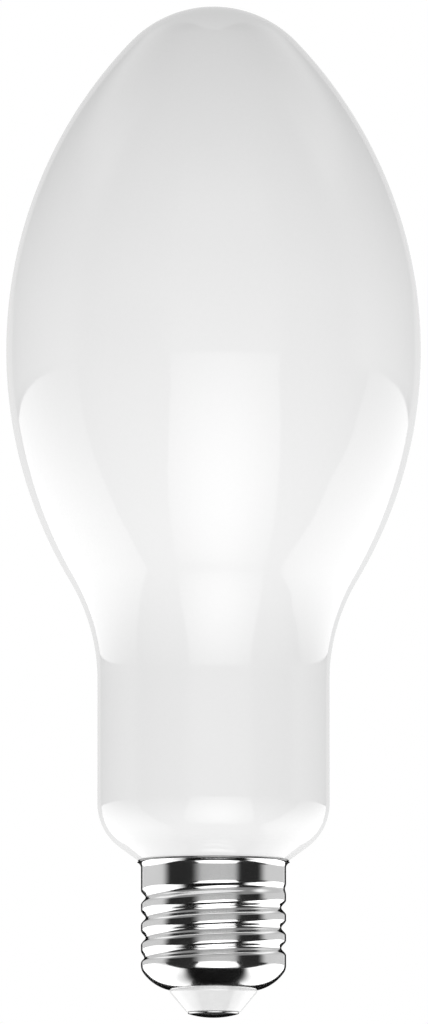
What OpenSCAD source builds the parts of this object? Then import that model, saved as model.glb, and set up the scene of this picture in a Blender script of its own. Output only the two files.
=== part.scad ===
// Opal LED lamp with an elliptical bulb and an Edison screw cap, standing cap down.
// Millimetres. The origin is on the lamp's axis at the lowest level of the centre contact,
// and +Z runs up the axis to the crown of the bulb.

/* [Bulb] */
// Height from the centre contact to the crown
overall_h = 182.7; // [170:0.1:200]
// Largest diameter of the bulb
bulb_d = 74.8; // [70:0.2:82]
// Height of the crown above the largest diameter
crown_h = 62.3; // [56:0.1:68]
// Radius of the small arc at the top of the crown
crown_r = 20.8; // [16:0.1:26]
// Radius of the hollow curve between the belly and the neck
waist_r = 35; // [28:0.5:45]
// Diameter of the straight neck
neck_d = 41.8; // [39:0.2:45]
// Radius of the rounded shoulder at the foot of the neck
shoulder_r = 9.8; // [7:0.1:11]
// Angle of the cone that seats on the cap, from the horizontal
seat_angle = 36; // [30:1:42]
// Diameter of the glass stem that goes down inside the cap
stem_d = 22.4; // [20:0.1:23]
// Depth of the glass stem below the cap's rim
stem_len = 13; // [8:0.5:15]
// Radius of the stem's melted lower edge
stem_edge_r = 2.5; // [1:0.1:4]

/* [Screw cap] */
// Height of the cap's rim above the centre contact
cap_h = 28.05; // [27:0.05:30]
// Outer diameter of the thread's crests and of the plain collar
thread_d = 26.1; // [26:0.05:27]
// Rise of the thread in one turn
thread_pitch = 3.629; // [3.4:0.001:3.8]
// Depth of the rolled groove
groove_depth = 0.85; // [0.6:0.05:1.1]
// Width of the rolled groove, from land to land
groove_w = 2.7; // [2.2:0.05:3]
// Height of the groove's middle on the +X side, in its lowest full turn
groove_z = 12.5; // [12.1:0.1:12.9]
// Turns of groove above that point, to where it has run out
groove_turns_up = 3.3; // [2.8:0.05:3.4]
// Turns of groove below that point, to where it has run out
groove_turns_down = 1.05; // [0.6:0.05:1.1]
// Turns that the groove takes to reach its full depth
groove_runout = 0.85; // [0.5:0.05:1]
// Height over which the groove dies away at the top and foot of the threaded wall
groove_fade = 1.1; // [0.8:0.05:1.6]
// Thickness of the shell's sheet
shell_t = 0.3; // [0.2:0.05:0.4]
// Height of the plain collar under the flared rim
collar_h = 2.8; // [2.2:0.1:3.4]
// Radius of the flare at the rim, on its outer face
flare_r = 1.1; // [0.7:0.05:1.4]
// Turn of the flare out of the vertical
flare_angle = 67; // [50:1:80]
// Radius of the corner between the threaded wall and the bowl
corner_r = 2.3; // [1:0.1:3]
// Radius of the bowl at the foot of the shell
bowl_r = 7.85; // [7.2:0.05:8.4]
// Distance of the bowl arc's centre from the axis
bowl_c = 6.25; // [5.8:0.05:6.7]
// Height of the bowl's lowest level above the centre contact
bowl_z = 4.75; // [4.4:0.05:5.2]
// Diameter of the hole in the bottom of the shell
eye_d = 15.8; // [15:0.1:17]

/* [Insulator and contact] */
// Diameter of the insulator where it meets the contact
tip_d = 10; // [9.6:0.1:11]
// Height of the insulator's straight step below the shell
step_h = 0.45; // [0.2:0.05:0.8]
// Diameter of the flange that locks the insulator inside the shell
lock_d = 21; // [18:0.1:22]
// Height of the insulator's flat top above the centre contact
insulator_top = 8; // [7:0.1:9]
// Diameter of the contact's head
contact_d = 9.2; // [8:0.1:9.6]
// Thickness of the edge of the contact's head
contact_edge = 0.3; // [0.2:0.05:0.6]
// Bulge of the contact's head below its edge
contact_bulge = 0.7; // [0.3:0.05:0.9]
// Diameter of the flat in the middle of the contact
contact_flat_d = 2.4; // [1.6:0.1:4]
// Diameter of the contact's shank
shank_d = 2.6; // [2:0.1:4]
// Length of the contact's shank above its head
shank_len = 9; // [8.5:0.1:11]

/* [Basing cement] */
// Depth of the cement ring below the plain collar
cement_drop = 6; // [3:0.1:8]

/* [Fits] */
// Running clearance between pieces that are set into each other
fit_gap = 0.05; // [0.02:0.01:0.1]

/* [Hidden] */
$fn = 96;

// Steps of the curves: degrees along an arc, rows for each turn of thread, columns round it
ARC_STEP = 3;
ROWS_PER_TURN = 9;
OUTER_COLS = 60;
INNER_COLS = OUTER_COLS / 2;
// The thread's mesh runs this far into the turned parts of the shell, just inside their skin
LAP = 0.3;
SKIN = 0.03;

// Radii
bulb_r = bulb_d / 2;
neck_r = neck_d / 2;
stem_r = stem_d / 2;
thread_r = thread_d / 2;
bore_r = thread_r - shell_t;
eye_r = eye_d / 2;
lock_r = lock_d / 2;
tip_r = tip_d / 2;
contact_r = contact_d / 2;
shank_r = shank_d / 2;

// Rim: the sheet turns out round (flare_c, flare_z)
flare_c = thread_r + flare_r;
flare_mid = flare_r + shell_t / 2;
flare_z = cap_h - flare_mid * sin(flare_angle);
collar_z = flare_z - collar_h;
// Where the flare's inner face carries the glass: where it is as steep as the seat, or at its end
seat_turn = min(flare_angle, 90 - seat_angle);
seat = [flare_c - (flare_r + shell_t) * cos(seat_turn),
        flare_z + (flare_r + shell_t) * sin(seat_turn)];

// Bulb: centres of the arcs, each tangent to the next
widest_z = overall_h - crown_h;
belly_r = (pow(bulb_r, 2) + pow(crown_h - crown_r, 2) - pow(crown_r, 2)) / (2 * (bulb_r - crown_r));
belly_c = [bulb_r - belly_r, widest_z];
crown_c = [0, overall_h - crown_r];
waist_c = [neck_r + waist_r,
           widest_z - sqrt(pow(belly_r + waist_r, 2) - pow(neck_r + waist_r - belly_c[0], 2))];
shoulder_end_r = neck_r - shoulder_r + shoulder_r * sin(seat_angle);
shoulder_end_z = seat[1] + fit_gap / cos(seat_angle) + (shoulder_end_r - seat[0]) * tan(seat_angle);
shoulder_c = [neck_r - shoulder_r, shoulder_end_z + shoulder_r * cos(seat_angle)];
seat_end = [stem_r, shoulder_end_z - (shoulder_end_r - stem_r) * tan(seat_angle)];
stem_z = cap_h - stem_len;

// Foot of the shell
bowl_cz = bowl_z + bowl_r;
corner_c = thread_r - corner_r;
corner_cz = bowl_cz - sqrt(pow(bowl_r - corner_r, 2) - pow(corner_c - bowl_c, 2));
corner_angle = atan2(bowl_cz - corner_cz, corner_c - bowl_c);

// Thread band between the collar and the bowl
band_top = collar_z;
band_foot = corner_cz + LAP;
band_z0 = band_foot - LAP / 2;
band_rows = ceil((band_top - band_foot) / thread_pitch * ROWS_PER_TURN);
band_step = (band_top + LAP / 2 - band_z0) / band_rows;

// Contact and insulator levels
head_top = contact_bulge + contact_edge;
step_top = bowl_cz - sqrt(pow(bowl_r, 2) - pow(eye_r - bowl_c, 2));

function smooth(t) = let (u = min(1, max(0, t))) u * u * (3 - 2 * u);

// Points on an arc round c, from angle a to angle b
function arc(c, r, a, b) =
    let (n = max(1, ceil(abs(b - a) / ARC_STEP)))
    [for (i = [0:n]) let (t = a + (b - a) * i / n) [c[0] + r * cos(t), c[1] + r * sin(t)]];

// One closed outline out of several runs of points, with each shared end kept once
function outline(runs) =
    let (all = [for (run = runs) each run])
    [for (i = [0:len(all) - 1]) if (i == 0 || norm(all[i] - all[max(0, i - 1)]) > 1e-6) all[i]];

// Direction from point p to point q
function heading(p, q) = atan2(q[1] - p[1], q[0] - p[0]);

// Depth of the groove at height z and angle a round the axis
function groove(a, z) =
    let (turn = (z - groove_z) / thread_pitch - a / 360,
         off = abs(turn - round(turn)) * thread_pitch * 2 / groove_w,
         s = round(turn) + a / 360,
         run = smooth((groove_turns_up - s) / groove_runout)
             * smooth((groove_turns_down + s) / groove_runout),
         ends = smooth((z - band_foot) / groove_fade) * smooth((band_top - z) / groove_fade))
    off >= 1 ? 0 : groove_depth * run * ends * (1 + cos(180 * off)) / 2;

// One closed outline of the solid glass bulb, from the stem's lower end to the crown
module glass_bulb() {
    to_waist = heading(belly_c, waist_c);
    to_crown = heading(belly_c, crown_c);
    color("white")
    rotate_extrude()
    polygon(outline([
        [[0, stem_z]],
        arc([stem_r - stem_edge_r, stem_z + stem_edge_r], stem_edge_r, -90, 0),
        [seat_end],
        arc(shoulder_c, shoulder_r, seat_angle - 90, 0),
        arc(waist_c, waist_r, 180, 180 + to_waist),
        arc(belly_c, belly_r, to_waist, to_crown),
        arc(crown_c, crown_r, to_crown, 90)]));
}

// Cement that holds the glass stem in the collar, and reaches down past the first groove
module basing_cement() {
    ring_foot = collar_z - cement_drop;
    ring_r = bore_r - groove_depth - fit_gap;
    color("gainsboro")
    rotate_extrude()
    polygon([[stem_r + fit_gap, ring_foot], [ring_r, ring_foot], [ring_r, collar_z],
             [bore_r - fit_gap, collar_z], [bore_r - fit_gap, flare_z],
             [stem_r + fit_gap, min(flare_z, seat_end[1] - fit_gap)]]);
}

// Plain collar and flared rim of the shell
module shell_rim() {
    rotate_extrude()
    polygon(outline([
        [[bore_r, band_top], [thread_r, band_top]],
        arc([flare_c, flare_z], flare_r, 180, 180 - flare_angle),
        arc([flare_c, flare_z], flare_r + shell_t, 180 - flare_angle, 180)]));
}

// Bowl at the foot of the shell, open at the eye
module shell_bowl() {
    function eye_angle(r) = -acos((eye_r - bowl_c) / r);
    inner_r = bowl_r - shell_t;
    rotate_extrude()
    polygon(outline([
        arc([bowl_c, bowl_cz], bowl_r, eye_angle(bowl_r), -corner_angle),
        arc([corner_c, corner_cz], corner_r, -corner_angle, 0),
        [[thread_r, band_foot], [bore_r, band_foot]],
        arc([corner_c, corner_cz], corner_r - shell_t, 0, -corner_angle),
        arc([bowl_c, bowl_cz], inner_r, -corner_angle, eye_angle(inner_r))]));
}

// Rolled wall with the thread's groove pressed into both of its faces
module shell_thread() {
    function ring(cols, inset, i) =
        let (z = band_z0 + i * band_step)
        [for (j = [0:cols - 1])
            let (a = j * 360 / cols, r = thread_r - inset - groove(a, z))
            [r * cos(a), r * sin(a), z]];
    // The middles of the inner ring's chords lie nearest the axis, so its corners are set out
    inner_inset = thread_r - (bore_r + SKIN) / cos(180 / INNER_COLS);
    outer = [for (i = [0:band_rows]) each ring(OUTER_COLS, SKIN, i)];
    inner = [for (i = [0:band_rows]) each ring(INNER_COLS, inner_inset, i)];
    base = len(outer);
    function o(i, j) = i * OUTER_COLS + j % OUTER_COLS;
    function n(i, j) = base + i * INNER_COLS + j % INNER_COLS;
    walls = [for (i = [0:band_rows - 1]) each concat(
        [for (j = [0:OUTER_COLS - 1]) each
            [[o(i, j), o(i + 1, j), o(i + 1, j + 1)], [o(i, j), o(i + 1, j + 1), o(i, j + 1)]]],
        [for (j = [0:INNER_COLS - 1]) each
            [[n(i, j), n(i + 1, j + 1), n(i + 1, j)], [n(i, j), n(i, j + 1), n(i + 1, j + 1)]]])];
    foot = [for (j = [0:INNER_COLS - 1]) each
        [[o(0, 2 * j), o(0, 2 * j + 1), n(0, j)],
         [o(0, 2 * j + 1), n(0, j + 1), n(0, j)],
         [o(0, 2 * j + 1), o(0, 2 * j + 2), n(0, j + 1)]]];
    m = band_rows;
    top = [for (j = [0:INNER_COLS - 1]) each
        [[o(m, 2 * j), n(m, j), o(m, 2 * j + 1)],
         [o(m, 2 * j + 1), n(m, j), n(m, j + 1)],
         [o(m, 2 * j + 1), n(m, j + 1), o(m, 2 * j + 2)]]];
    polyhedron(concat(outer, inner), concat(walls, foot, top));
}

// The cap's shell: one rolled sheet with rim, collar, thread and bowl
module screw_shell() {
    color("silver") {
        shell_rim();
        shell_thread();
        shell_bowl();
    }
}

// Insulator: a cone below the shell and a flange that locks it inside the bowl
module cap_insulator() {
    lock_arc_r = bowl_r - shell_t - fit_gap;
    lock_a = acos((lock_r - bowl_c) / lock_arc_r);
    eye_a = acos((eye_r - fit_gap - bowl_c) / lock_arc_r);
    color("white")
    difference() {
        rotate_extrude()
        polygon(outline([
            [[0, head_top], [tip_r, head_top], [eye_r - fit_gap, step_top - step_h]],
            arc([bowl_c, bowl_cz], lock_arc_r, -eye_a, -lock_a),
            [[lock_r, insulator_top], [0, insulator_top]]]));
        translate([0, 0, head_top - 1])
        cylinder(r = shank_r + fit_gap, h = insulator_top - head_top + 2);
    }
}

// Centre contact: a domed head with a small flat, and a shank through the insulator
module centre_contact() {
    flat_r = contact_flat_d / 2;
    dome_r = (pow(contact_r, 2) + pow(contact_bulge, 2)) / (2 * contact_bulge);
    dome_flat = dome_r - sqrt(pow(dome_r, 2) - pow(flat_r, 2));
    // The dome is set down by what its flat cuts off, so that the flat lies at the origin's level
    dome_c = [0, dome_r - dome_flat];
    color("lightgray")
    rotate_extrude()
    polygon(outline([
        [[0, 0]],
        arc(dome_c, dome_r, -acos(flat_r / dome_r), -acos(contact_r / dome_r)),
        [[contact_r, head_top], [shank_r, head_top],
         [shank_r, head_top + shank_len], [0, head_top + shank_len]]]));
}

glass_bulb();
basing_cement();
screw_shell();
cap_insulator();
centre_contact();
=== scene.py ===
"""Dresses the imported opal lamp: smooth glass, rolled nickel shell, insulator and contact."""
from __future__ import annotations

import logging
import math
from dataclasses import dataclass
from enum import Enum
from typing import Callable, Sequence

import bpy
import numpy as np
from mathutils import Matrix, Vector


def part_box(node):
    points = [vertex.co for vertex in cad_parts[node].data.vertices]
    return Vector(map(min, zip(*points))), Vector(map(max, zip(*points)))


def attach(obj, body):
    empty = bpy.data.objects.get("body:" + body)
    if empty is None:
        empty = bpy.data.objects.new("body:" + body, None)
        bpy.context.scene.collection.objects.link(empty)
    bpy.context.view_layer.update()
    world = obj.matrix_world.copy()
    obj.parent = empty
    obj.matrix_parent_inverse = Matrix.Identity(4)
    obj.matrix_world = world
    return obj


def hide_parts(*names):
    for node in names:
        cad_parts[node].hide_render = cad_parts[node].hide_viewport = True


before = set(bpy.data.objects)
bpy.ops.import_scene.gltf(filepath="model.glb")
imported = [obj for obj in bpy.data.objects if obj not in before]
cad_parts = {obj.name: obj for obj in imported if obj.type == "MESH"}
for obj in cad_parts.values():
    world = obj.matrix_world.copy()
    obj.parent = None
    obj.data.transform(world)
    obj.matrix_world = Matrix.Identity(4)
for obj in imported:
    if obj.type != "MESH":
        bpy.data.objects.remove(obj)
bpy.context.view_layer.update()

MM = 0.001
BODY = "root"
LOG = logging.getLogger("lamp")

Point = tuple[float, float]
Colour = tuple[float, float, float, float]


class Side(Enum):
    """Which rays of light see a part of the studio."""

    CAMERA = "visible_camera"
    DIFFUSE = "visible_diffuse"
    GLOSSY = "visible_glossy"
    SHADOW = "visible_shadow"
    TRANSMISSION = "visible_transmission"


class Graph:
    """A short way to lay out the nodes of one material or of the world."""

    def __init__(self, tree: bpy.types.NodeTree) -> None:
        """Empties the tree and keeps it.

        Args:
            tree: The node tree to fill.
        """
        self.tree = tree
        tree.nodes.clear()

    def add(self, kind: str, inputs: dict[str | int, object] | None = None, **settings: object) -> bpy.types.Node:
        """Adds a node.

        Args:
            kind: The node's type name in Blender.
            inputs: A value, or another node's output socket, for each named input.
            settings: The node's own properties.

        Returns:
            The new node.
        """
        node = self.tree.nodes.new(kind)
        for name, value in settings.items():
            setattr(node, name, value)
        for name, value in (inputs or {}).items():
            if isinstance(value, bpy.types.NodeSocket):
                self.tree.links.new(value, node.inputs[name])
            else:
                node.inputs[name].default_value = value
        return node

    def ramp(self, factor: bpy.types.NodeSocket, stops: Sequence[tuple[float, Colour]]) -> bpy.types.NodeSocket:
        """Adds a colour ramp.

        Args:
            factor: The socket that drives it.
            stops: Place and colour of each stop, in order.

        Returns:
            The ramp's colour output.
        """
        node = self.add("ShaderNodeValToRGB", {"Fac": factor})
        elements = node.color_ramp.elements
        while len(elements) < len(stops):
            elements.new(0.5)
        for element, (place, colour) in zip(elements, stops):
            element.position = place
            element.color = colour
        return node.outputs["Color"]

    def spread(self, factor: bpy.types.NodeSocket, low: float, high: float) -> bpy.types.NodeSocket:
        """Maps a factor from 0..1 to a range of values.

        Args:
            factor: The socket to map.
            low: The value at 0.
            high: The value at 1.

        Returns:
            The mapped socket.
        """
        node = self.add("ShaderNodeMapRange", {"Value": factor, "To Min": low, "To Max": high})
        return node.outputs["Result"]


def grey(value: float) -> Colour:
    """Returns an opaque grey of that linear value."""
    return (value, value, value, 1.0)


def arc(centre: Point, radius: float, start: float, end: float, step: float = 1.0) -> list[Point]:
    """Lays points along an arc.

    Args:
        centre: The arc's centre, as radius and height.
        radius: The arc's radius.
        start: The angle of its first point, in degrees.
        end: The angle of its last point, in degrees.
        step: The largest angle between two points, in degrees.

    Returns:
        The points, both ends included.
    """
    count = max(2, math.ceil(abs(end - start) / step))
    angles = np.radians(np.linspace(start, end, count + 1))
    return [(centre[0] + radius * math.cos(a), centre[1] + radius * math.sin(a)) for a in angles]


def line(start: Point, end: Point, step: float) -> list[Point]:
    """Lays evenly spaced points from start to end, no further apart than step."""
    count = max(1, math.ceil(math.dist(start, end) / step))
    return [(start[0] + (end[0] - start[0]) * i / count, start[1] + (end[1] - start[1]) * i / count)
            for i in range(count + 1)]


def heading(start: Point, end: Point) -> float:
    """Returns the direction from one point to another, in degrees."""
    return math.degrees(math.atan2(end[1] - start[1], end[0] - start[0]))


def joined(*runs: Sequence[Point]) -> list[Point]:
    """Strings runs of points together and drops each point that repeats the one before."""
    points: list[Point] = []
    for run in runs:
        for point in run:
            if not points or math.dist(points[-1], point) > 1e-6:
                points.append(point)
    return points


def smooth(value: np.ndarray | float) -> np.ndarray:
    """Rises smoothly from 0 to 1 as the value goes from 0 to 1."""
    held = np.clip(value, 0.0, 1.0)
    return held * held * (3.0 - 2.0 * held)


@dataclass(frozen=True)
class Turning:
    """Turns a section round the lamp's axis into a mesh object.

    The section is in millimetres, as radius and height, and runs with the solid on its left.
    """

    name: str
    columns: int = 256
    closed: bool = False
    sharp_angle: float = 50.0

    def mesh(self, section: Sequence[Point], dent: Callable[[np.ndarray, np.ndarray], np.ndarray] | None = None
             ) -> bpy.types.Object:
        """Builds the object.

        Args:
            section: The section's points. An open section starts and ends on the axis.
            dent: How far the surface is pressed in, for angles and heights, in millimetres.

        Returns:
            The object, linked to the scene.
        """
        body = list(section) if self.closed else list(section)[1:-1]
        angles = np.arange(self.columns) * 2 * math.pi / self.columns
        radii = np.array([p[0] for p in body])[:, None] * np.ones_like(angles)[None, :]
        heights = np.array([p[1] for p in body])[:, None] * np.ones_like(angles)[None, :]
        if dent is not None:
            radii = radii - dent(angles[None, :], heights)
        grid = np.stack([radii * np.cos(angles), radii * np.sin(angles), heights], axis=-1) * MM
        verts = [tuple(v) for v in grid.reshape(-1, 3)]
        rows = len(body)
        faces: list[tuple[int, ...]] = []
        for i in range(rows if self.closed else rows - 1):
            low, high = i * self.columns, (i + 1) % rows * self.columns
            for j in range(self.columns):
                k = (j + 1) % self.columns
                faces.append((low + j, low + k, high + k, high + j))
        if not self.closed:
            foot, crown = len(verts), len(verts) + 1
            verts += [(0.0, 0.0, section[0][1] * MM), (0.0, 0.0, section[-1][1] * MM)]
            last = (rows - 1) * self.columns
            for j in range(self.columns):
                k = (j + 1) % self.columns
                faces.append((foot, k, j))
                faces.append((crown, last + j, last + k))
        data = bpy.data.meshes.new(self.name)
        data.from_pydata(verts, [], faces)
        data.validate()
        data.shade_smooth()
        data.set_sharp_from_angle(angle=math.radians(self.sharp_angle))
        piece = bpy.data.objects.new(self.name, data)
        bpy.context.scene.collection.objects.link(piece)
        return piece


@dataclass(frozen=True)
class OpalGlass:
    """Clear glossy glass over a white powder coat, with painted shade that darkens the coat towards the neck."""

    white: float = 0.895
    # Painted shade: how much darker the coat is painted in the neck, which the belly above shades.
    neck_painted_shade: float = 0.027
    mottle: float = 0.012
    roughness: float = 0.055
    waviness: float = 0.00003

    def material(self) -> bpy.types.Material:
        """Returns the finish as a material."""
        material = bpy.data.materials.new("opal_glass")
        material.use_nodes = True
        graph = Graph(material.node_tree)
        place = graph.add("ShaderNodeTexCoord").outputs["Object"]
        cloud = graph.add("ShaderNodeTexNoise", {"Vector": place, "Scale": 22.0, "Detail": 3.0})
        powder = graph.add("ShaderNodeTexNoise", {"Vector": place, "Scale": 1500.0, "Detail": 2.0})
        blend = graph.add("ShaderNodeMix", {"Factor": 0.3, "A": cloud.outputs["Fac"], "B": powder.outputs["Fac"]})
        coat = graph.ramp(blend.outputs["Result"], [
            (0.3, grey(self.white - self.mottle)), (0.7, grey(self.white + self.mottle))])
        # Painted shade: the coat is painted darker below 88 mm, fully by 70 mm, where the belly shades the neck.
        height = graph.add("ShaderNodeSeparateXYZ", {"Vector": place}).outputs["Z"]
        neck_shade = graph.add("ShaderNodeMapRange", {
            "Value": height, "From Min": 0.07, "From Max": 0.088, "To Min": 1.0 - self.neck_painted_shade, "To Max": 1.0})
        coat = graph.add("ShaderNodeMix", {"Factor": 1.0, "A": coat, "B": neck_shade.outputs["Result"]},
                         data_type="RGBA", blend_type="MULTIPLY").outputs["Result"]
        gloss = graph.spread(cloud.outputs["Fac"], self.roughness * 0.9, self.roughness * 1.1)
        wave = graph.add("ShaderNodeTexNoise", {"Vector": place, "Scale": 35.0, "Detail": 1.0})
        bump = graph.add("ShaderNodeBump", {"Strength": 0.4, "Distance": self.waviness,
                                            "Height": wave.outputs["Fac"]})
        shader = graph.add("ShaderNodeBsdfPrincipled", {
            "Base Color": coat, "Roughness": gloss, "IOR": 1.5, "Normal": bump.outputs["Normal"]})
        graph.add("ShaderNodeOutputMaterial", {"Surface": shader.outputs["BSDF"]})
        return material


@dataclass(frozen=True)
class NickelPlate:
    """Bright nickel on rolled brass sheet, with the faint lines that rolling leaves round it.

    Above a set height, the top of the lip is painted darker than the rest: a painted dark reflection along the rim's
    edge.
    """

    # Painted dark reflection: the lip above this height takes the dark colour below.
    lip_shade_z: float
    lip_shade_fade: float = 0.00012
    lip_shade_colour: Colour = (0.3, 0.3, 0.3, 1.0)
    colour: Colour = (0.93, 0.93, 0.93, 1.0)
    roughness: float = 0.11
    line_scale: float = 900.0
    line_depth: float = 0.000004

    def material(self) -> bpy.types.Material:
        """Returns the finish as a material."""
        material = bpy.data.materials.new("nickel_plate")
        material.use_nodes = True
        graph = Graph(material.node_tree)
        place = graph.add("ShaderNodeTexCoord").outputs["Object"]
        stretch = graph.add("ShaderNodeMapping", {"Vector": place, "Scale": (0.03, 0.03, 1.0)})
        lines = graph.add("ShaderNodeTexNoise", {
            "Vector": stretch.outputs["Vector"], "Scale": self.line_scale, "Detail": 4.0})
        haze = graph.add("ShaderNodeTexNoise", {"Vector": place, "Scale": 140.0, "Detail": 4.0})
        tint = graph.ramp(haze.outputs["Fac"], [
            (0.3, tuple(c * 0.97 for c in self.colour[:3]) + (1.0,)), (0.7, self.colour)])
        height = graph.add("ShaderNodeSeparateXYZ", {"Vector": place}).outputs["Z"]
        # Painted dark reflection: darkens the top of the lip.
        edge = graph.add("ShaderNodeMapRange", {
            "Value": height, "From Min": self.lip_shade_z, "From Max": self.lip_shade_z + self.lip_shade_fade})
        tint = graph.add("ShaderNodeMix", {"Factor": edge.outputs["Result"], "A": tint, "B": self.lip_shade_colour},
                         data_type="RGBA").outputs["Result"]
        gloss = graph.spread(haze.outputs["Fac"], self.roughness * 0.6, self.roughness * 1.4)
        bump = graph.add("ShaderNodeBump", {"Strength": 0.5, "Distance": self.line_depth,
                                            "Height": lines.outputs["Fac"]})
        shader = graph.add("ShaderNodeBsdfPrincipled", {
            "Base Color": tint, "Metallic": 1.0, "Roughness": gloss, "Normal": bump.outputs["Normal"]})
        graph.add("ShaderNodeOutputMaterial", {"Surface": shader.outputs["BSDF"]})
        return material


@dataclass(frozen=True)
class GlazedInsulator:
    """White pressed insulator with a smooth glaze."""

    white: float = 0.8
    roughness: float = 0.06

    def material(self) -> bpy.types.Material:
        """Returns the finish as a material."""
        material = bpy.data.materials.new("insulator")
        material.use_nodes = True
        graph = Graph(material.node_tree)
        place = graph.add("ShaderNodeTexCoord").outputs["Object"]
        grain = graph.add("ShaderNodeTexNoise", {"Vector": place, "Scale": 600.0, "Detail": 3.0})
        body = graph.ramp(grain.outputs["Fac"], [
            (0.3, grey(self.white - 0.02)), (0.7, grey(self.white + 0.02))])
        gloss = graph.spread(grain.outputs["Fac"], self.roughness * 0.8, self.roughness * 1.2)
        bump = graph.add("ShaderNodeBump", {"Strength": 0.3, "Distance": 0.00001,
                                            "Height": grain.outputs["Fac"]})
        shader = graph.add("ShaderNodeBsdfPrincipled", {
            "Base Color": body, "Roughness": gloss, "IOR": 1.8, "Normal": bump.outputs["Normal"]})
        graph.add("ShaderNodeOutputMaterial", {"Surface": shader.outputs["BSDF"]})
        return material


@dataclass(frozen=True)
class ContactMetal:
    """Bright stamped contact metal with fine turning rings."""

    colour: Colour = (0.62, 0.62, 0.62, 1.0)
    roughness: float = 0.12

    def material(self) -> bpy.types.Material:
        """Returns the finish as a material."""
        material = bpy.data.materials.new("contact_metal")
        material.use_nodes = True
        graph = Graph(material.node_tree)
        place = graph.add("ShaderNodeTexCoord").outputs["Object"]
        rings = graph.add("ShaderNodeTexWave", {"Vector": place, "Scale": 900.0, "Distortion": 1.5, "Detail": 2.0},
                          wave_type="RINGS", rings_direction="Z")
        haze = graph.add("ShaderNodeTexNoise", {"Vector": place, "Scale": 300.0, "Detail": 4.0})
        tint = graph.ramp(haze.outputs["Fac"], [
            (0.3, tuple(c * 0.94 for c in self.colour[:3]) + (1.0,)), (0.7, self.colour)])
        gloss = graph.spread(haze.outputs["Fac"], self.roughness * 0.7, self.roughness * 1.3)
        bump = graph.add("ShaderNodeBump", {"Strength": 0.2, "Distance": 0.00001,
                                            "Height": rings.outputs["Fac"]})
        shader = graph.add("ShaderNodeBsdfPrincipled", {
            "Base Color": tint, "Metallic": 1.0, "Roughness": gloss, "Normal": bump.outputs["Normal"]})
        graph.add("ShaderNodeOutputMaterial", {"Surface": shader.outputs["BSDF"]})
        return material


@dataclass(frozen=True)
class SetCement:
    """Dull grey-white cement, set in the cap."""

    light: float = 0.7
    dark: float = 0.55

    def material(self) -> bpy.types.Material:
        """Returns the finish as a material."""
        material = bpy.data.materials.new("cement")
        material.use_nodes = True
        graph = Graph(material.node_tree)
        place = graph.add("ShaderNodeTexCoord").outputs["Object"]
        grit = graph.add("ShaderNodeTexNoise", {"Vector": place, "Scale": 1200.0, "Detail": 6.0})
        body = graph.ramp(grit.outputs["Fac"], [(0.35, grey(self.dark)), (0.65, grey(self.light))])
        bump = graph.add("ShaderNodeBump", {"Strength": 0.6, "Distance": 0.00008,
                                            "Height": grit.outputs["Fac"]})
        shader = graph.add("ShaderNodeBsdfPrincipled", {
            "Base Color": body, "Roughness": 0.9, "Normal": bump.outputs["Normal"]})
        graph.add("ShaderNodeOutputMaterial", {"Surface": shader.outputs["BSDF"]})
        return material


def fit(piece: bpy.types.Object, material: bpy.types.Material, node: str) -> None:
    """Dresses a piece, fixes it to the lamp's body and lets it stand for a solid.

    Args:
        piece: The new object.
        material: Its finish.
        node: The solid that it replaces.
    """
    piece.data.materials.clear()
    piece.data.materials.append(material)
    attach(piece, BODY)
    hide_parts(node)
    LOG.info("%s replaces %s: %d faces", piece.name, node, len(piece.data.polygons))


@dataclass(frozen=True)
class CapRim:
    """The flare at the top of the shell, which carries the glass."""

    thread_r: float
    sheet: float = 0.3
    flare_r: float = 1.1
    flare_angle: float = 67.0
    top: float = 28.05

    @property
    def centre(self) -> Point:
        """Returns the centre that the sheet turns out round."""
        middle = self.flare_r + self.sheet / 2
        return (self.thread_r + self.flare_r, self.top - middle * math.sin(math.radians(self.flare_angle)))

    def seat(self, slope: float) -> Point:
        """Returns the place where the flare carries a cone of that slope, in degrees."""
        angle = math.radians(180.0 - min(self.flare_angle, 90.0 - slope))
        reach = self.flare_r + self.sheet
        return (self.centre[0] + reach * math.cos(angle), self.centre[1] + reach * math.sin(angle))


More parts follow.
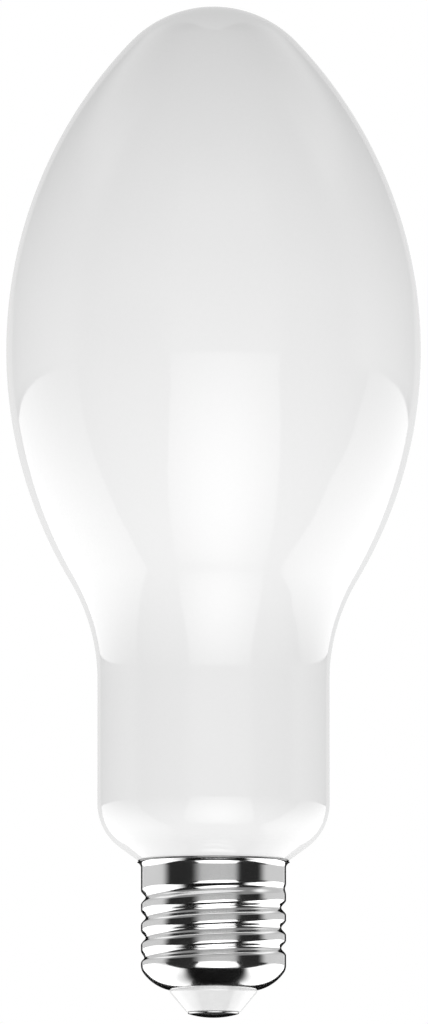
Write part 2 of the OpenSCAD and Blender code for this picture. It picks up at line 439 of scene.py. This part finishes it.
@dataclass(frozen=True)
class GlassEnvelope:
    """The blown opal bulb: crown, belly, waist, neck, shoulder, seat cone and hidden stem."""

    rim: CapRim
    overall_h: float
    bulb_r: float
    crown_h: float = 62.3
    crown_r: float = 20.8
    waist_r: float = 35.0
    neck_r: float = 20.9
    shoulder_r: float = 9.8
    seat_angle: float = 36.0
    stem_r: float = 11.2
    stem_len: float = 13.0
    stem_edge_r: float = 2.5
    seat_gap: float = 0.05
    seat_blend: float = 1.0

    def section(self) -> list[Point]:
        """Returns the outline from the stem's lower end to the crown, all arcs tangent."""
        rise = self.crown_h - self.crown_r
        belly_r = (self.bulb_r ** 2 + rise ** 2 - self.crown_r ** 2) / (2 * (self.bulb_r - self.crown_r))
        belly = (self.bulb_r - belly_r, self.overall_h - self.crown_h)
        crown = (0.0, self.overall_h - self.crown_r)
        reach = self.neck_r + self.waist_r
        waist = (reach, belly[1] - math.sqrt((belly_r + self.waist_r) ** 2 - (reach - belly[0]) ** 2))
        slope = math.radians(self.seat_angle)
        end_r = self.neck_r - self.shoulder_r + self.shoulder_r * math.sin(slope)
        rest = self.rim.seat(self.seat_angle)
        end_z = rest[1] + self.seat_gap / math.cos(slope) + (end_r - rest[0]) * math.tan(slope)
        shoulder = (self.neck_r - self.shoulder_r, end_z + self.shoulder_r * math.cos(slope))
        seat = (self.stem_r, end_z - (end_r - self.stem_r) * math.tan(slope))
        stem_z = self.rim.top - self.stem_len
        edge = self.stem_edge_r
        blend_z = seat[1] + self.seat_blend * math.tan(slope)
        down = heading(belly, waist)
        up = heading(belly, crown)
        return joined(
            [(0.0, stem_z)],
            arc((self.stem_r - edge, stem_z + edge), edge, -90.0, 0.0, 6.0),
            line((self.stem_r, stem_z + edge), (self.stem_r, seat[1] - self.seat_blend / 2), 1.0),
            [(self.stem_r + self.seat_blend / 4, seat[1]), (self.stem_r + self.seat_blend, blend_z)],
            line((self.stem_r + self.seat_blend, blend_z), (end_r, end_z), 0.4),
            arc(shoulder, self.shoulder_r, self.seat_angle - 90.0, 0.0, 1.0),
            line((self.neck_r, shoulder[1]), (self.neck_r, waist[1]), 1.0),
            arc(waist, self.waist_r, 180.0, 180.0 + down, 0.6),
            arc(belly, belly_r, down, up, 0.5),
            arc(crown, self.crown_r, up, 90.0, 1.0))

    def build(self) -> bpy.types.Object:
        """Builds and dresses the envelope."""
        piece = Turning("opal_envelope", columns=256).mesh(self.section())
        fit(piece, OpalGlass().material(), "glass_bulb")
        return piece


@dataclass(frozen=True)
class RolledShell:
    """The screw cap's sheet: rim, collar, rolled thread and bowl."""

    rim: CapRim
    pitch: float = 3.629
    groove_depth: float = 0.85
    groove_w: float = 2.7
    groove_z: float = 12.5
    turns_up: float = 3.3
    turns_down: float = 1.05
    runout: float = 0.85
    fade: float = 1.1
    collar_h: float = 2.8
    corner_r: float = 2.3
    bowl_r: float = 7.85
    bowl_c: float = 6.25
    bowl_z: float = 4.75
    eye_r: float = 7.9
    lap: float = 0.3
    row: float = 0.17

    @property
    def bowl_centre(self) -> Point:
        """Returns the centre of the bowl's arc."""
        return (self.bowl_c, self.bowl_z + self.bowl_r)

    @property
    def corner_centre(self) -> Point:
        """Returns the centre of the corner between wall and bowl."""
        across = self.rim.thread_r - self.corner_r
        drop = math.sqrt((self.bowl_r - self.corner_r) ** 2 - (across - self.bowl_c) ** 2)
        return (across, self.bowl_centre[1] - drop)

    def groove(self, angle: np.ndarray, height: np.ndarray) -> np.ndarray:
        """Tells how deep the thread's groove is.

        Args:
            angle: Angles round the axis, in radians.
            height: Heights, in millimetres.

        Returns:
            The depths, in millimetres.
        """
        foot = self.corner_centre[1] + self.lap
        top = self.rim.centre[1] - self.collar_h
        part = angle / (2 * math.pi)
        turn = (height - self.groove_z) / self.pitch - part
        off = np.abs(turn - np.round(turn)) * self.pitch * 2 / self.groove_w
        along = np.round(turn) + part
        run = smooth((self.turns_up - along) / self.runout) * smooth((self.turns_down + along) / self.runout)
        ends = smooth((height - foot) / self.fade) * smooth((top - height) / self.fade)
        press = (1 + np.cos(math.pi * np.minimum(off, 1.0))) / 2
        return self.groove_depth * run * ends * press

    def eye_angle(self, radius: float) -> float:
        """Returns the angle at which a bowl arc of that radius meets the eye, in degrees."""
        return -math.degrees(math.acos((self.eye_r - self.bowl_c) / radius))

    def section(self) -> list[Point]:
        """Returns the closed section of the sheet, from the eye up outside and down inside."""
        rim, sheet = self.rim, self.rim.sheet
        bowl, corner = self.bowl_centre, self.corner_centre
        turn = heading(bowl, corner)
        out_r, in_r = rim.thread_r, rim.thread_r - sheet
        lip_angle = 180.0 - rim.flare_angle
        middle = rim.flare_r + sheet / 2
        edge = (rim.centre[0] + middle * math.cos(math.radians(lip_angle)),
                rim.centre[1] + middle * math.sin(math.radians(lip_angle)))
        return joined(
            arc(bowl, self.bowl_r, self.eye_angle(self.bowl_r), turn, 2.0),
            arc(corner, self.corner_r, turn, 0.0, 3.0),
            line((out_r, corner[1]), (out_r, rim.centre[1]), self.row),
            arc(rim.centre, rim.flare_r, 180.0, lip_angle, 6.0),
            arc(edge, sheet / 2, lip_angle - 180.0, lip_angle - 360.0, 20.0)[1:-1],
            arc(rim.centre, rim.flare_r + sheet, lip_angle, 180.0, 6.0),
            line((in_r, rim.centre[1]), (in_r, corner[1]), self.row),
            arc(corner, self.corner_r - sheet, 0.0, turn, 3.0),
            arc(bowl, self.bowl_r - sheet, turn, self.eye_angle(self.bowl_r - sheet), 2.0))

    def build(self) -> bpy.types.Object:
        """Builds and dresses the shell."""
        piece = Turning("rolled_shell", columns=256, closed=True).mesh(self.section(), self.groove)
        # The top of the lip is painted dark, as a painted dark reflection.
        plate = NickelPlate(lip_shade_z=(self.rim.top - self.rim.sheet / 2) * MM)
        fit(piece, plate.material(), "screw_shell")
        return piece


@dataclass(frozen=True)
class ConeInsulator:
    """The insulating cone between shell and contact, with its hidden locking flange."""

    shell: RolledShell
    head_top: float
    tip_r: float = 5.0
    step_h: float = 0.45
    lock_r: float = 10.5
    top: float = 8.0
    bore_r: float = 1.35
    gap: float = 0.05
    edge_r: float = 0.12

    def section(self) -> list[Point]:
        """Returns the closed section, up the outside and down the bore."""
        shell = self.shell
        bowl = shell.bowl_centre
        lock_arc = shell.bowl_r - shell.rim.sheet - self.gap
        body_r = shell.eye_r - self.gap
        eye = math.sqrt(shell.bowl_r ** 2 - (shell.eye_r - shell.bowl_c) ** 2)
        step_z = bowl[1] - eye - self.step_h
        foot = self.head_top
        start = -math.degrees(math.acos((body_r - bowl[0]) / lock_arc))
        stop = -math.degrees(math.acos((self.lock_r - bowl[0]) / lock_arc))
        cone = line((self.tip_r, foot + self.edge_r), (body_r - self.edge_r / 2, step_z - self.edge_r / 2), 0.5)
        return joined(
            line((self.bore_r, foot), (self.tip_r - self.edge_r, foot), 0.8),
            arc((self.tip_r - self.edge_r, foot + self.edge_r), self.edge_r, -90.0, -40.0, 15.0),
            cone,
            line((body_r, step_z + self.edge_r / 2), (body_r, bowl[1] + lock_arc * math.sin(math.radians(start))), 0.2),
            arc(bowl, lock_arc, start, stop, 4.0),
            line((self.lock_r, bowl[1] + lock_arc * math.sin(math.radians(stop))), (self.lock_r, self.top), 0.8),
            line((self.lock_r, self.top), (self.bore_r, self.top), 1.5),
            line((self.bore_r, self.top), (self.bore_r, foot), 1.0)[:-1])

    def build(self) -> bpy.types.Object:
        """Builds and dresses the insulator."""
        piece = Turning("cone_insulator", columns=160, closed=True).mesh(self.section())
        fit(piece, GlazedInsulator().material(), "cap_insulator")
        return piece


@dataclass(frozen=True)
class DomedContact:
    """The centre contact: a domed head with a small flat, and the shank behind it."""

    head_r: float
    shank_top: float
    edge: float = 0.3
    bulge: float = 0.7
    flat_r: float = 1.2
    shank_r: float = 1.3
    round_r: float = 0.08

    @property
    def head_top(self) -> float:
        """Returns the height of the head's upper face."""
        return self.bulge + self.edge

    def section(self) -> list[Point]:
        """Returns the section from the flat round the head and up the shank."""
        dome_r = (self.head_r ** 2 + self.bulge ** 2) / (2 * self.bulge)
        centre = math.sqrt(dome_r ** 2 - self.flat_r ** 2)
        start = -math.degrees(math.acos(self.flat_r / dome_r))
        stop = -math.degrees(math.acos((self.head_r - self.round_r) / dome_r))
        low = centre - dome_r * math.sin(math.radians(-stop))
        return joined(
            [(0.0, 0.0), (self.flat_r / 2, 0.0)],
            arc((0.0, centre), dome_r, start, stop, 0.5),
            [(self.head_r, low + self.round_r), (self.head_r, self.head_top - self.round_r)],
            [(self.head_r - self.round_r, self.head_top), (self.shank_r, self.head_top)],
            line((self.shank_r, self.head_top), (self.shank_r, self.shank_top), 1.0),
            [(0.0, self.shank_top)])

    def build(self) -> bpy.types.Object:
        """Builds and dresses the contact."""
        piece = Turning("domed_contact", columns=160).mesh(self.section())
        fit(piece, ContactMetal().material(), "centre_contact")
        return piece


@dataclass(frozen=True)
class CementRing:
    """The hidden ring that holds the glass in the cap: the solid itself, with its own finish."""

    node: str = "basing_cement"

    def dress(self) -> bpy.types.Object:
        """Gives the solid its finish."""
        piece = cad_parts[self.node]
        piece.data.materials.clear()
        piece.data.materials.append(SetCement().material())
        LOG.info("%s keeps its solid", piece.name)
        return piece


class FarPatch:
    """A far, glowing part of a sphere that only reflections see.

    Directions are in degrees: azimuth 0 is where the camera stands, 90 is on its right, and
    elevation 90 is overhead. Each vertex holds its own level of light.
    """

    def __init__(self, name: str, distance: float) -> None:
        """Keeps the name and the distance.

        Args:
            name: The object's name.
            distance: The sphere's radius, in metres.
        """
        self.name = name
        self.distance = distance

    def build(self, azimuths: np.ndarray, elevations: np.ndarray, levels: np.ndarray,
              receivers: Sequence[bpy.types.Object] = ()) -> bpy.types.Object:
        """Builds the patch.

        Args:
            azimuths: The azimuth of each point of a grid.
            elevations: Its elevation.
            levels: Its level of light.
            receivers: The only pieces that reflect it, or none for all of them.

        Returns:
            The patch, set aside as part of the studio.
        """
        rows, columns = azimuths.shape
        a, e = np.radians(azimuths), np.radians(elevations)
        grid = np.stack([np.cos(e) * np.sin(a), -np.cos(e) * np.cos(a), np.sin(e)], axis=-1) * self.distance
        faces = [(i * columns + j, i * columns + j + 1, (i + 1) * columns + j + 1, (i + 1) * columns + j)
                 for i in range(rows - 1) for j in range(columns - 1)]
        data = bpy.data.meshes.new(self.name)
        data.from_pydata([tuple(v) for v in grid.reshape(-1, 3)], [], faces)
        level = data.attributes.new("level", "FLOAT", "POINT")
        level.data.foreach_set("value", levels.astype(np.float32).ravel())
        material = bpy.data.materials.new(self.name)
        material.use_nodes = True
        graph = Graph(material.node_tree)
        held = graph.add("ShaderNodeAttribute", attribute_name="level")
        glow = graph.add("ShaderNodeEmission", {"Color": grey(1.0), "Strength": held.outputs["Fac"]})
        graph.add("ShaderNodeOutputMaterial", {"Surface": glow.outputs["Emission"]})
        data.materials.append(material)
        patch = bpy.data.objects.new(self.name, data)
        bpy.context.scene.collection.objects.link(patch)
        see_only(patch, Side.GLOSSY)
        if receivers:
            chosen = bpy.data.collections.new(f"{self.name}_receivers")
            for piece in receivers:
                chosen.objects.link(piece)
            patch.light_linking.receiver_collection = chosen
        LOG.info("%s: %d faces", self.name, len(faces))
        return patch


@dataclass(frozen=True)
class Softbox:
    """A softbox below the horizon, as reflections show it: sharp sides and a glow inside.

    Each side is a list of elevations, falling, with the azimuth of the side there. The glow is
    strongest at `middle` and `level_el` and fades by `width` and `back_width` towards the camera and
    away from it, and by `rise` and `fall` above and below. Its middle turns by `drift` degrees for
    each degree that it lies lower.
    """

    name: str
    left: Sequence[tuple[float, float]]
    right: Sequence[tuple[float, float]]
    peak: float
    middle: float
    drift: float
    width: float
    back_width: float
    rise: float
    fall: float
    level_el: float
    foot: Callable[[np.ndarray], np.ndarray]
    foot_blur: float = 10.0
    top: float = 1.5
    low: float = -70.0

    def side(self, table: Sequence[tuple[float, float]], elevations: np.ndarray) -> np.ndarray:
        """Returns a side's azimuths at the given elevations."""
        ordered = sorted(table)
        return np.interp(elevations, [e for e, _ in ordered], [a for _, a in ordered])

    def build(self) -> bpy.types.Object:
        """Builds the softbox."""
        rows = np.linspace(self.top, self.low, 96)
        left, right = self.side(self.left, rows), self.side(self.right, rows)
        across = np.linspace(0.0, 1.0, 64)[None, :]
        azimuths = left[:, None] + (right - left)[:, None] * across
        elevations = np.broadcast_to(rows[:, None], azimuths.shape)
        middle = self.middle + self.drift * np.maximum(0.0, -elevations)
        width = np.where(np.abs(azimuths) > np.abs(middle), self.back_width, self.width)
        height = np.where(elevations > self.level_el, self.rise, self.fall)
        glow = self.peak * np.exp(-((azimuths - middle) / width) ** 2)
        glow = glow * np.exp(-((elevations - self.level_el) / height) ** 2)
        glow = glow * smooth((elevations - self.foot(azimuths)) / self.foot_blur + 0.5)
        return FarPatch(self.name, 5.0).build(azimuths, elevations, glow)


@dataclass(frozen=True)
class Surround:
    """What bright metal and gloss reflect between and above the softboxes."""

    gap: float = 0.016
    ceiling: float = 0.23
    side: float = 0.62
    front: float = 0.45
    behind: float = 0.8

    def level(self, azimuths: np.ndarray, elevations: np.ndarray) -> np.ndarray:
        """Returns the light from each direction.

        Args:
            azimuths: The directions' azimuths, in degrees.
            elevations: Their elevations.

        Returns:
            The levels.
        """
        off = np.abs(azimuths)
        start = np.where(azimuths < 0, 72.0, 75.0)
        beside = smooth((off - start) / 20.0) * smooth((178.0 - off) / 20.0)
        before = smooth((azimuths + 36.0) / 20.0) * smooth((45.0 - azimuths) / 14.0)
        above = smooth((elevations + 1.0) / 4.0)
        dip = smooth((elevations - 9.0) / 10.0) * smooth((42.0 - elevations) / 14.0)
        high = smooth((elevations - 28.0) / 14.0)
        lit = above * (self.side * (1.0 - 0.5 * dip + 0.35 * high) * beside * smooth((68.0 - elevations) / 30.0)
                       + self.front * (1.0 - 0.65 * dip + 0.15 * high) * before * smooth((65.0 - elevations) / 40.0))
        ceiling = self.ceiling * smooth((elevations - 8.0) / 10.0)
        floor = self.gap * smooth((elevations + 62.0) / 14.0)
        behind = self.behind * smooth((off - 148.0) / 3.0)
        behind = behind * smooth((14.0 - elevations) / 6.0) * smooth((elevations + 34.0) / 10.0)
        return floor + ceiling + np.maximum(lit, behind)

    def build(self) -> bpy.types.Object:
        """Builds the surround."""
        azimuths, elevations = np.meshgrid(np.linspace(-180.0, 180.0, 181), np.linspace(-90.0, 90.0, 121))
        return FarPatch("surround", 6.0).build(azimuths, elevations, self.level(azimuths, elevations))


@dataclass(frozen=True)
class BackPanel:
    """A white panel behind the lamp that the glass and the insulator reflect at their outlines.

    Metal doesn't receive its light, and so keeps dark outlines.
    """

    level: float = 0.85
    half_width: float = 24.0

    def build(self, receivers: Sequence[bpy.types.Object]) -> bpy.types.Object:
        """Builds the panel.

        Args:
            receivers: The pieces that reflect it.

        Returns:
            The panel.
        """
        azimuths, elevations = np.meshgrid(
            np.linspace(180.0 - self.half_width, 180.0 + self.half_width, 25), np.linspace(-30.0, 80.0, 56))
        levels = np.full(azimuths.shape, self.level)
        return FarPatch("back_panel", 5.5).build(azimuths, elevations, levels, receivers)


def see_only(thing: bpy.types.Object, *sides: Side) -> None:
    """Lets only the named kinds of rays see an object."""
    for side in Side:
        setattr(thing, side.value, side in sides)


@dataclass(frozen=True)
class Studio:
    """Floor, background, reflected surround, softboxes and camera.

    The soft light on matt surfaces is `even`, plus `front` from the camera's side, and changes
    with the height z of its direction by `rise` z + `bend` z z, and by `nadir` straight below.
    """

    even: float = 0.828
    front: float = 0.251
    rise: float = -0.402
    bend: float = -0.059
    nadir: float = -0.15
    floor_z: float = -0.25
    floor_size: float = 60.0
    camera_distance: float = 3.0
    camera_elevation: float = -5.0
    frame_width_px: float = 428.0
    frame_height_px: float = 1024.0
    px_per_mm: float = 5.55
    axis_px: float = 213.5
    foot_px: float = 1016.1

    def build(self, glossy: Sequence[bpy.types.Object]) -> None:
        """Builds everything round the lamp.

        Args:
            glossy: The pieces that are glossy and not of metal.
        """
        self.world()
        self.floor()
        Surround().build()
        BackPanel().build(glossy)
        for box in self.softboxes():
            box.build()
        self.camera()

    def world(self) -> None:
        """Makes the background white for the eye, and the light on the lamp soft and plain."""
        scene = bpy.context.scene
        scene.view_settings.view_transform = "Standard"
        world = bpy.data.worlds.new("studio")
        world.use_nodes = True
        scene.world = world
        graph = Graph(world.node_tree)
        way = graph.add("ShaderNodeTexCoord").outputs["Generated"]
        parts = graph.add("ShaderNodeSeparateXYZ", {"Vector": way})
        bend = graph.add("ShaderNodeMath", {0: parts.outputs["Z"], 1: self.bend, 2: self.rise},
                         operation="MULTIPLY_ADD")
        height = graph.add("ShaderNodeMath", {0: parts.outputs["Z"], 1: bend.outputs["Value"], 2: self.even},
                           operation="MULTIPLY_ADD")
        below = graph.add("ShaderNodeMapRange", {
            "Value": parts.outputs["Z"], "From Min": -0.5, "From Max": -1.0, "To Max": self.nadir},
            interpolation_type="SMOOTHSTEP")
        height = graph.add("ShaderNodeMath", {0: height.outputs["Value"], 1: below.outputs["Result"]})
        light = graph.add("ShaderNodeMath", {0: parts.outputs["Y"], 1: -self.front, 2: height.outputs["Value"]},
                          operation="MULTIPLY_ADD")
        rays = graph.add("ShaderNodeLightPath")
        seen = graph.add("ShaderNodeMath", {0: rays.outputs["Is Camera Ray"], 1: rays.outputs["Is Glossy Ray"]},
                         operation="MAXIMUM")
        seen = graph.add("ShaderNodeMath", {0: seen.outputs["Value"], 1: rays.outputs["Is Transmission Ray"]},
                         operation="MAXIMUM")
        colour = graph.add("ShaderNodeMix", {
            "Factor": seen.outputs["Value"], "A": light.outputs["Value"], "B": grey(1.0)}, data_type="RGBA")
        back = graph.add("ShaderNodeBackground", {"Color": colour.outputs["Result"], "Strength": 1.0})
        graph.add("ShaderNodeOutputWorld", {"Surface": back.outputs["Background"]})

    def floor(self) -> None:
        """Lays a plain pale floor under the lamp, which keeps the lamp's shadow."""
        half = self.floor_size / 2
        data = bpy.data.meshes.new("floor")
        corners = [(-half, -half), (half, -half), (half, half), (-half, half)]
        data.from_pydata([(x, y, self.floor_z) for x, y in corners], [], [(0, 1, 2, 3)])
        floor = bpy.data.objects.new("floor", data)
        bpy.context.scene.collection.objects.link(floor)
        material = bpy.data.materials.new("floor")
        material.use_nodes = True
        graph = Graph(material.node_tree)
        rays = graph.add("ShaderNodeLightPath")
        shader = graph.add("ShaderNodeBsdfPrincipled", {
            "Base Color": grey(0.85), "Roughness": 1.0, "Specular IOR Level": 0.0,
            "Emission Color": grey(1.0), "Emission Strength": graph.spread(rays.outputs["Is Camera Ray"], 0.0, 0.45)})
        graph.add("ShaderNodeOutputMaterial", {"Surface": shader.outputs["BSDF"]})
        data.materials.append(material)
        see_only(floor, Side.CAMERA)

    @staticmethod
    def side_foot(across: float, ahead: float, drop: float) -> Callable[[np.ndarray], np.ndarray]:
        """Returns the lower edge of a box whose lower rim is a level line."""
        def foot(azimuths: np.ndarray) -> np.ndarray:
            a = np.radians(azimuths)
            return -np.degrees(np.arctan((across * np.abs(np.sin(a)) - ahead * np.cos(a)) / drop))
        return foot

    def softboxes(self) -> list[Softbox]:
        """Returns the three softboxes: in front, on the left and on the right."""
        return [
            Softbox("front_box",
                    left=[(1.5, -24), (-7, -24), (-15, -26), (-22, -28), (-30, -31), (-45, -36), (-57, -40), (-70, -45)],
                    right=[(1.5, 37), (-5, 37), (-12, 39), (-22, 42), (-30, 45), (-40, 49), (-55, 55), (-70, 61)],
                    peak=2.6, middle=7.0, drift=0.0, width=38.0, back_width=38.0, rise=42.0, fall=33.0,
                    level_el=-32.0,
                    foot=lambda azimuths: -57.0 + 5.5 * ((azimuths - 8.0) / 48.0) ** 2),
            Softbox("left_box",
                    left=[(1.5, -149), (-2.5, -150), (-12, -156), (-20, -160), (-25, -163), (-32, -171), (-40, -171),
                          (-45, -168), (-50, -165), (-55, -160), (-70, -141)],
                    right=[(1.5, -82), (-10, -81), (-17, -79), (-25, -76), (-32, -74), (-37, -72), (-45, -70),
                           (-52, -67), (-70, -60)],
                    peak=2.4, middle=-132.0, drift=0.6, width=41.0, back_width=80.0, rise=46.0, fall=33.0,
                    level_el=-27.0,
                    foot=self.side_foot(0.84, 0.40, 0.42)),
            Softbox("right_box",
                    left=[(1.5, 97), (-2.5, 95), (-7, 92), (-12, 90), (-17, 86), (-22, 82), (-32, 79), (-42, 72),
                          (-70, 60)],
                    right=[(1.5, 151), (-2.5, 152), (-12, 157), (-20, 160), (-25, 162), (-32, 167), (-40, 167),
                           (-45, 165), (-50, 161), (-55, 155), (-70, 134)],
                    peak=2.4, middle=139.5, drift=-0.77, width=41.0, back_width=80.0, rise=46.0, fall=33.0,
                    level_el=-27.0,
                    foot=self.side_foot(0.755, 0.41, 0.49)),
        ]

    def camera(self) -> None:
        """Stands a long lens in front of the lamp, a little below it, as in the photograph."""
        slope = math.radians(self.camera_elevation)
        scale = self.px_per_mm / MM
        centre_up = (self.foot_px - self.frame_height_px / 2) / scale / math.cos(slope)
        centre_right = (self.frame_width_px / 2 - self.axis_px) / scale
        target = Vector((centre_right, 0.0, centre_up))
        back = Vector((0.0, -math.cos(slope), math.sin(slope)))
        data = bpy.data.cameras.new("camera")
        data.sensor_fit = "AUTO"
        data.sensor_width = 36.0
        data.lens = data.sensor_width * self.camera_distance / (self.frame_height_px / scale)
        data.clip_start = 0.1
        data.clip_end = 100.0
        camera = bpy.data.objects.new("camera", data)
        camera.location = target + back * self.camera_distance
        camera.rotation_mode = "QUATERNION"
        camera.rotation_quaternion = (-back).to_track_quat("-Z", "Y")
        bpy.context.scene.collection.objects.link(camera)
        bpy.context.scene.camera = camera


def main() -> None:
    """Builds the lamp from the crown down, then the studio."""
    logging.basicConfig(level=logging.INFO, format="%(name)s: %(message)s")
    glass_low, glass_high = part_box("glass_bulb")
    contact_low, contact_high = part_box("centre_contact")
    head_r = contact_high.x / MM
    rim = CapRim(thread_r=13.05)
    shell = RolledShell(rim)
    contact = DomedContact(head_r=round(head_r, 3), shank_top=contact_high.z / MM)
    glass = GlassEnvelope(rim, overall_h=glass_high.z / MM, bulb_r=glass_high.x / MM).build()
    shell.build()
    insulator = ConeInsulator(shell, head_top=contact.head_top).build()
    contact.build()
    CementRing().dress()
    Studio().build([glass, insulator])


if __name__ == "__main__":
    main()
